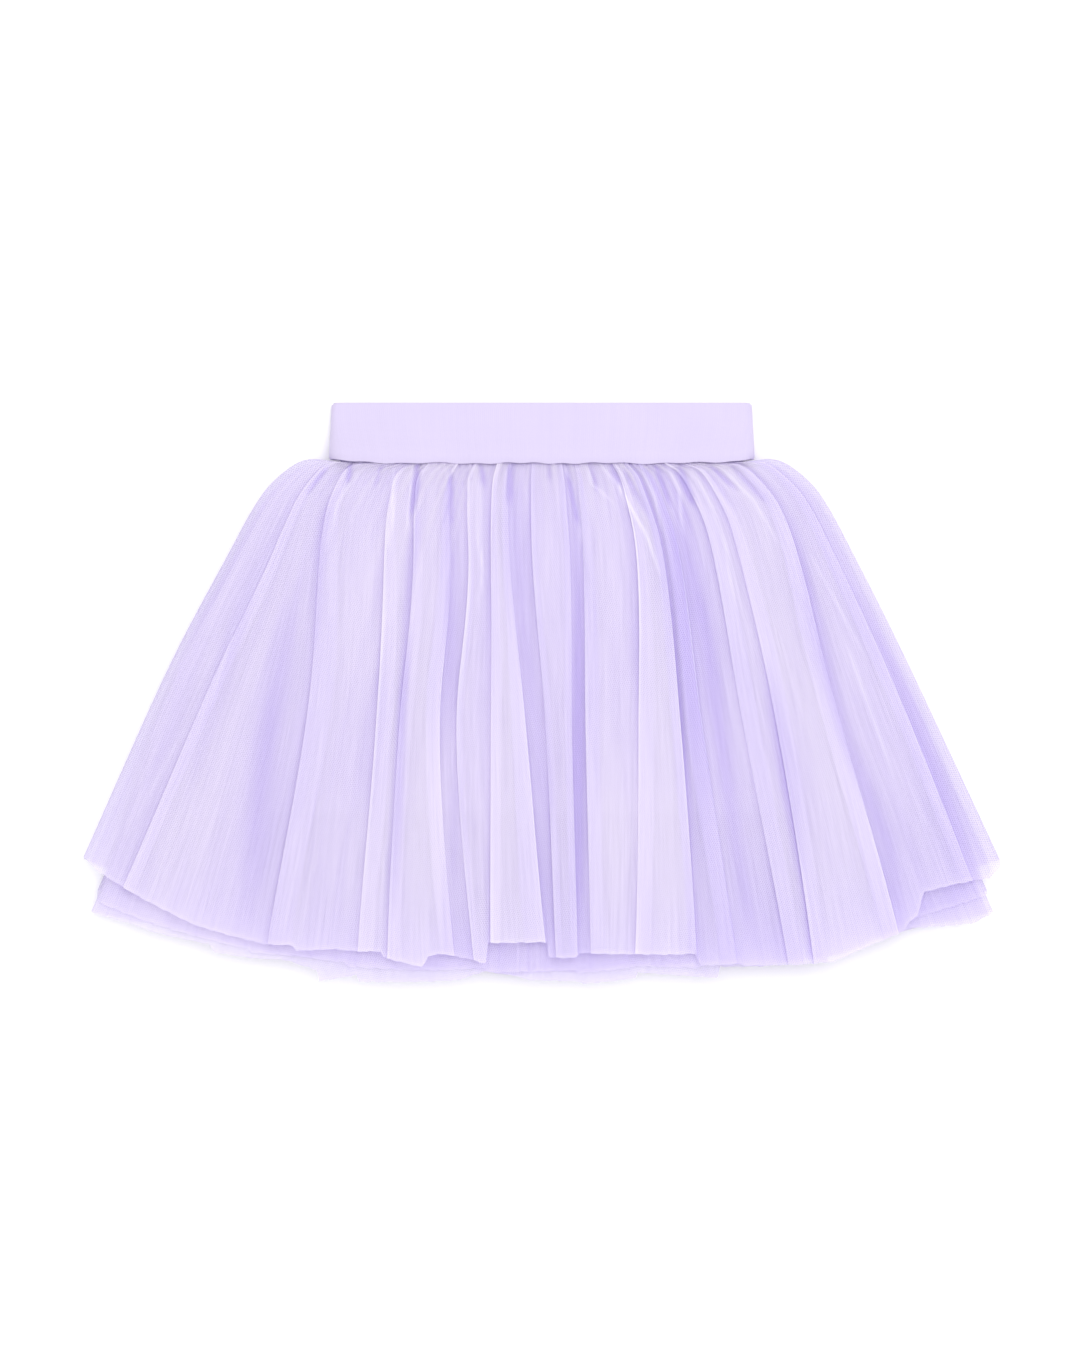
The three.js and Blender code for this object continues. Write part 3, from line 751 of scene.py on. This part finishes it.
def new_group(name, inputs, outputs):
    tree = bpy.data.node_groups.new(name, "ShaderNodeTree")
    for label in inputs:
        tree.interface.new_socket(label, in_out="INPUT", socket_type="NodeSocketFloat")
    for label in outputs:
        tree.interface.new_socket(label, in_out="OUTPUT", socket_type="NodeSocketFloat")
    start = tree.nodes.new("NodeGroupInput")
    end = tree.nodes.new("NodeGroupOutput")
    return tree, start.outputs, end.inputs


def use_group(tree, group, **values):
    node = tree.nodes.new("ShaderNodeGroup")
    node.node_tree = group
    for name, value in values.items():
        feed(tree, node.inputs[name], value)
    return node.outputs


def net_group(mesh_size):
    """A soft honeycomb net, 1 on its threads and 0 in its holes, and the unevenness of its threads."""
    tree, given, made = new_group("tulle net", ["Across", "Up"], ["Threads", "Grain"])
    wander = centred(tree, noise(tree, given["Across"], given["Up"], 0.014, 0.02), 0.0012)
    u = maths(tree, "ADD", given["Across"], wander)
    turn = 2 * math.pi / (mesh_size * 0.866)
    half_u = maths(tree, "MULTIPLY", u, turn / 2)
    high = maths(tree, "MULTIPLY", given["Up"], turn * 0.866)
    waves = [
        maths(tree, "COSINE", maths(tree, "MULTIPLY", u, turn)),
        maths(tree, "COSINE", maths(tree, "ADD", half_u, high)),
        maths(tree, "COSINE", maths(tree, "SUBTRACT", half_u, high)),
    ]
    feed(tree, made["Threads"], smooth_step(tree, total(tree, *waves), -1.0, 1.4, 1.0, 0.0))
    feed(tree, made["Grain"], noise(tree, given["Across"], given["Up"], 0.7 * mesh_size, 0.7 * mesh_size))
    return tree


def streak_group():
    """Long uneven streaks up the cloth, where its threads lie closer, and a soft unevenness over it."""
    if STREAKS in bpy.data.node_groups:
        return bpy.data.node_groups[STREAKS]
    tree, given, made = new_group(STREAKS, ["Across", "Up"], ["Streaks", "Clouds"])
    u = given["Across"]
    v = given["Up"]
    wide = maths(tree, "MULTIPLY", noise(tree, u, v, 0.0024, 0.08), 0.5)
    thin = maths(tree, "MULTIPLY", noise(tree, u, v, 0.0008, 0.03), 0.5)
    feed(tree, made["Streaks"], maths(tree, "ADD", wide, thin))
    feed(tree, made["Clouds"], noise(tree, u, v, 0.018, 0.12))
    return tree


def cloth_place(tree):
    place = tree.nodes.new("ShaderNodeUVMap")
    place.uv_map = CLOTH_MAP
    parts = tree.nodes.new("ShaderNodeSeparateXYZ")
    tree.links.new(place.outputs["UV"], parts.inputs["Vector"])
    return parts.outputs["X"], parts.outputs["Y"]


def net_place(tree):
    """Where a point lies on the net, turned from the skirt's own axes and different for each layer."""
    place = tree.nodes.new("ShaderNodeTexCoord")
    parts = tree.nodes.new("ShaderNodeSeparateXYZ")
    tree.links.new(place.outputs["Object"], parts.inputs["Vector"])
    x, y, z = (parts.outputs[name] for name in ("X", "Y", "Z"))
    shift = maths(tree, "MULTIPLY", z, 0.2)
    cosine, sine = NET_TURN
    across = total(tree, maths(tree, "MULTIPLY", x, cosine), maths(tree, "MULTIPLY", y, sine), shift)
    up = total(tree, maths(tree, "MULTIPLY", x, -sine), maths(tree, "MULTIPLY", y, cosine), shift)
    return across, up


def read_values(tree, name):
    node = tree.nodes.new("ShaderNodeAttribute")
    node.attribute_name = name
    return node.outputs["Fac"]


def new_material(name, roughness, sheen):
    material = bpy.data.materials.new(name)
    material.use_nodes = True
    shader = material.node_tree.nodes["Principled BSDF"]
    shader.inputs["Roughness"].default_value = roughness
    shader.inputs["Sheen Weight"].default_value = sheen
    shader.inputs["Sheen Roughness"].default_value = 0.5
    shader.inputs["Specular IOR Level"].default_value = 0.2
    return material, material.node_tree, shader


def bump(tree, shader, height, strength, distance):
    node = tree.nodes.new("ShaderNodeBump")
    node.inputs["Strength"].default_value = strength
    node.inputs["Distance"].default_value = distance
    feed(tree, node.inputs["Height"], height)
    tree.links.new(node.outputs["Normal"], shader.inputs["Normal"])


def tulle_material(sizes):
    """Soft fine net: a painted highlight on its folded edges, lighter where the threads lie close, and
    painted shade in the valleys.
    """
    material, tree, shader = new_material("soft lilac tulle", 0.8, 0.25)
    u, v = cloth_place(tree)
    across, up = net_place(tree)
    net = use_group(tree, net_group(sizes.net_mesh), Across=across, Up=up)
    threads = net["Threads"]
    streaks = use_group(tree, streak_group(), Across=u, Up=v)
    valley_shade = read_values(tree, VALLEY_SHADE)
    shine = read_values(tree, SHINE)
    # The share of the pale colour: painted light and shade from the tone attribute, with random clouds,
    # streaks, net grain and threads
    light = total(
        tree,
        maths(tree, "MULTIPLY", read_values(tree, LIGHT_SHADE_AND_TONE), 0.3),
        centred(tree, streaks["Clouds"], 0.5),
        centred(tree, streaks["Streaks"], 0.35),
        centred(tree, net["Grain"], 0.45),
        centred(tree, threads, 0.15),
        0.68,
    )
    # Painted shade in the valleys and creases darkens the colour
    shaded = held_between(tree, maths(tree, "SUBTRACT", light, maths(tree, "MULTIPLY", valley_shade, 0.8)), 0, 1)
    # The colour leans to the deep tulle colour in the painted shade and to the pale one in the painted
    # light
    cloth_colour = tinted(tree, shaded, (*sizes.deep_tulle, 1), (*sizes.pale_tulle, 1))
    # Painted highlight on the folded edges and hairlines
    lit = tinted(tree, maths(tree, "MULTIPLY", shine, 0.55), cloth_colour, PAINTED_HIGHLIGHT)
    # Painted shade: the back of each ring is given a darker, greyer colour
    behind = maths(tree, "MULTIPLY", read_values(tree, BEHIND), 0.45)
    feed(tree, shader.inputs["Base Color"], tinted(tree, behind, lit, SHADED_BACK_CLOTH))
    cover = total(
        tree,
        smooth_step(tree, threads, 0, 1, sizes.cover - 0.07, sizes.cover + 0.07),
        centred(tree, streaks["Streaks"], 0.3),
        centred(tree, net["Grain"], 0.2),
        maths(tree, "MULTIPLY", shine, 0.3),
        smooth_step(tree, v, 0, 0.004, 0.1, 0),
    )
    ragged = maths(tree, "MULTIPLY", noise(tree, u, v, 0.0008, 0.01), 0.0014)
    inside = maths(tree, "GREATER_THAN", v, ragged)
    cover = held_between(tree, cover, 0.1, 0.97)
    feed(tree, shader.inputs["Alpha"], maths(tree, "MULTIPLY", cover, inside))
    height = maths(tree, "ADD", streaks["Streaks"], maths(tree, "MULTIPLY", threads, 0.3))
    bump(tree, shader, height, 0.05, 0.0004)
    return material


def elastic_material(sizes):
    """Dense smooth elastic with fine upright ribs."""
    material, tree, shader = new_material("ribbed elastic", 0.7, 0.2)
    u, v = cloth_place(tree)
    rib = maths(tree, "SINE", maths(tree, "MULTIPLY", u, 2 * math.pi / 0.0011))
    streaks = use_group(tree, streak_group(), Across=u, Up=v)
    shade = total(
        tree,
        maths(tree, "MULTIPLY", streaks["Streaks"], 0.55),
        maths(tree, "MULTIPLY", noise(tree, u, v, 0.03, 0.06), 0.45),
    )
    deep = tuple(0.9 * part for part in sizes.elastic_colour)
    pale = tuple(1.04 * part for part in sizes.elastic_colour)
    feed(tree, shader.inputs["Base Color"], tinted(tree, shade, (*deep, 1), (*pale, 1)))
    height = maths(tree, "ADD", maths(tree, "MULTIPLY", rib, 0.5), streaks["Streaks"])
    bump(tree, shader, height, 0.25, 0.0003)
    return material


def lining_material(sizes):
    """Plain thin knit with its wales and courses."""
    material, tree, shader = new_material("plain lining knit", 0.65, 0.1)
    u, v = cloth_place(tree)
    wale = maths(tree, "SINE", maths(tree, "MULTIPLY", u, 2 * math.pi / 0.0009))
    course = maths(tree, "SINE", maths(tree, "MULTIPLY", v, 2 * math.pi / 0.0007))
    deep = tuple(0.92 * part for part in sizes.lining_colour)
    cloth_colour = tinted(tree, noise(tree, u, v, 0.01, 0.01), (*deep, 1), (*sizes.lining_colour, 1))
    turned_up = smooth_step(tree, v, 0.011, 0.013, 1, 0)
    feed(tree, shader.inputs["Base Color"], tinted(tree, turned_up, cloth_colour, TURNED_HEM))
    bump(tree, shader, maths(tree, "MULTIPLY", wale, course), 0.3, 0.0002)
    return material


def floor_material():
    material, tree, shader = new_material("pale floor", 0.9, 0)
    place = tree.nodes.new("ShaderNodeTexCoord")
    grain = tree.nodes.new("ShaderNodeTexNoise")
    grain.inputs["Scale"].default_value = 3
    tree.links.new(place.outputs["Object"], grain.inputs["Vector"])
    tone = tinted(tree, grain.outputs[0], (0.955, 0.955, 0.96, 1), (0.975, 0.975, 0.975, 1))
    feed(tree, shader.inputs["Base Color"], tone)
    return material


class SkirtSizes(bpy.types.PropertyGroup):
    net_mesh: bpy.props.FloatProperty(
        name="Net mesh",
        description="Distance from one hole of the tulle to the next",
        default=0.00125,
        unit="LENGTH",
    )
    cover: bpy.props.FloatProperty(
        name="Net cover",
        description="How much of the light one layer of tulle stops",
        default=0.52,
        subtype="FACTOR",
    )
    gather_height: bpy.props.FloatProperty(
        name="Gather height",
        description="Height of the tight gathers under the waistband",
        default=0.0018,
        unit="LENGTH",
    )
    fold_height: bpy.props.FloatProperty(
        name="Fold height",
        description="Height of the soft folds lower down the tulle",
        default=0.0011,
        unit="LENGTH",
    )
    # The pale colour takes the painted light on the tulle and the deep one its painted shade in folds and
    # valleys, with random tone between them
    pale_tulle: bpy.props.FloatVectorProperty(
        name="Pale tulle",
        description="Colour of the tulle where it catches the light",
        default=(0.87, 0.805, 0.965),
        subtype="COLOR",
    )
    deep_tulle: bpy.props.FloatVectorProperty(
        name="Deep tulle",
        description="Colour of the tulle deep in its folds",
        default=(0.6, 0.505, 0.9),
        subtype="COLOR",
    )
    elastic_colour: bpy.props.FloatVectorProperty(
        name="Elastic",
        description="Colour of the waistband",
        default=(0.655, 0.585, 0.805),
        subtype="COLOR",
    )
    lining_colour: bpy.props.FloatVectorProperty(
        name="Lining",
        description="Colour of the lining",
        default=(0.8, 0.7, 0.97),
        subtype="COLOR",
    )


class StudioSizes(bpy.types.PropertyGroup):
    sky_strength: bpy.props.FloatProperty(
        name="Sky",
        description="Strength of the even light from all round",
        default=0.93,
    )
    lamp_power: bpy.props.FloatProperty(
        name="Lamp",
        description="Power of the wide lamp at the upper right",
        default=18,
        subtype="POWER",
    )
    camera_height: bpy.props.FloatProperty(
        name="Camera height",
        description="Height of the camera above the floor",
        default=2.1437,
        unit="LENGTH",
    )


class SKIRT_OT_tulle(bpy.types.Operator):
    """Makes the three gathered rings of tulle"""

    bl_idname = "skirt.tulle"
    bl_label = "Tulle rings"

    def execute(self, context):
        sizes = context.scene.skirt_sizes
        material = tulle_material(sizes)
        for name in RINGS:
            piece, flat_cut = tulle_ring(name, sizes)
            dress(piece, "tulle_" + name, material)
        return {"FINISHED"}


class SKIRT_OT_lining(bpy.types.Operator):
    """Makes the plain lining inside the rings"""

    bl_idname = "skirt.lining"
    bl_label = "Lining"

    def execute(self, context):
        material = lining_material(context.scene.skirt_sizes)
        dress(lining_tube(), "lining", material)
        return {"FINISHED"}


class SKIRT_OT_waistband(bpy.types.Operator):
    """Makes the elastic waistband"""

    bl_idname = "skirt.waistband"
    bl_label = "Waistband"

    def execute(self, context):
        material = elastic_material(context.scene.skirt_sizes)
        dress(waistband_tube(), "waistband", material)
        return {"FINISHED"}


class SKIRT_OT_stage(bpy.types.Operator):
    """Lays the floor and sets the lights and the camera"""

    bl_idname = "skirt.stage"
    bl_label = "Floor, lights and camera"

    def execute(self, context):
        studio = context.scene.studio_sizes
        bpy.ops.object.select_all(action="DESELECT")
        bpy.ops.mesh.primitive_plane_add(size=8)
        floor = context.object
        floor.name = "floor"
        floor.data.materials.append(floor_material())
        world = bpy.data.worlds.new("studio")
        context.scene.world = world
        world.use_nodes = True
        sky = world.node_tree.nodes["Background"]
        sky.inputs["Color"].default_value = (1, 1, 1, 1)
        sky.inputs["Strength"].default_value = studio.sky_strength
        bpy.ops.object.light_add(type="AREA", location=(0.35, 0.5, 1.9))
        lamp = context.object
        lamp.name = "wide_lamp"
        lamp.data.shape = "DISK"
        lamp.data.size = 2
        lamp.data.energy = studio.lamp_power
        lamp.rotation_euler = (math.radians(-15), math.radians(10), 0)
        bpy.ops.object.camera_add(location=(-0.003, 0.0108, studio.camera_height))
        camera = context.object
        camera.name = "overhead_camera"
        camera.data.lens = 100
        camera.data.sensor_width = 36
        context.scene.camera = camera
        context.scene.view_settings.view_transform = "Standard"
        context.scene.cycles.transparent_max_bounces = 24
        context.scene.cycles.max_bounces = 8
        context.scene.cycles.diffuse_bounces = 6
        return {"FINISHED"}


class SKIRT_PT_panel(bpy.types.Panel):
    """Lists the skirt's sizes and pieces"""

    bl_idname = "SKIRT_PT_panel"
    bl_label = "Tulle skirt"
    bl_space_type = "VIEW_3D"
    bl_region_type = "UI"
    bl_category = "Skirt"

    def draw(self, context):
        for group in (context.scene.skirt_sizes, context.scene.studio_sizes):
            for name in group.__annotations__:
                self.layout.prop(group, name)
        for piece in OPERATORS:
            self.layout.operator(piece.bl_idname)


OPERATORS = (SKIRT_OT_stage, SKIRT_OT_tulle, SKIRT_OT_lining, SKIRT_OT_waistband)
CLASSES = (SkirtSizes, StudioSizes, *OPERATORS, SKIRT_PT_panel)


def register():
    for each in CLASSES:
        bpy.utils.register_class(each)
    bpy.types.Scene.skirt_sizes = bpy.props.PointerProperty(type=SkirtSizes)
    bpy.types.Scene.studio_sizes = bpy.props.PointerProperty(type=StudioSizes)


def unregister():
    del bpy.types.Scene.studio_sizes
    del bpy.types.Scene.skirt_sizes
    for each in reversed(CLASSES):
        bpy.utils.unregister_class(each)


def main():
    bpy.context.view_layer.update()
    register()
    bpy.ops.skirt.stage()
    bpy.ops.skirt.tulle()
    bpy.ops.skirt.lining()
    bpy.ops.skirt.waistband()


if __name__ == "__main__":
    main()
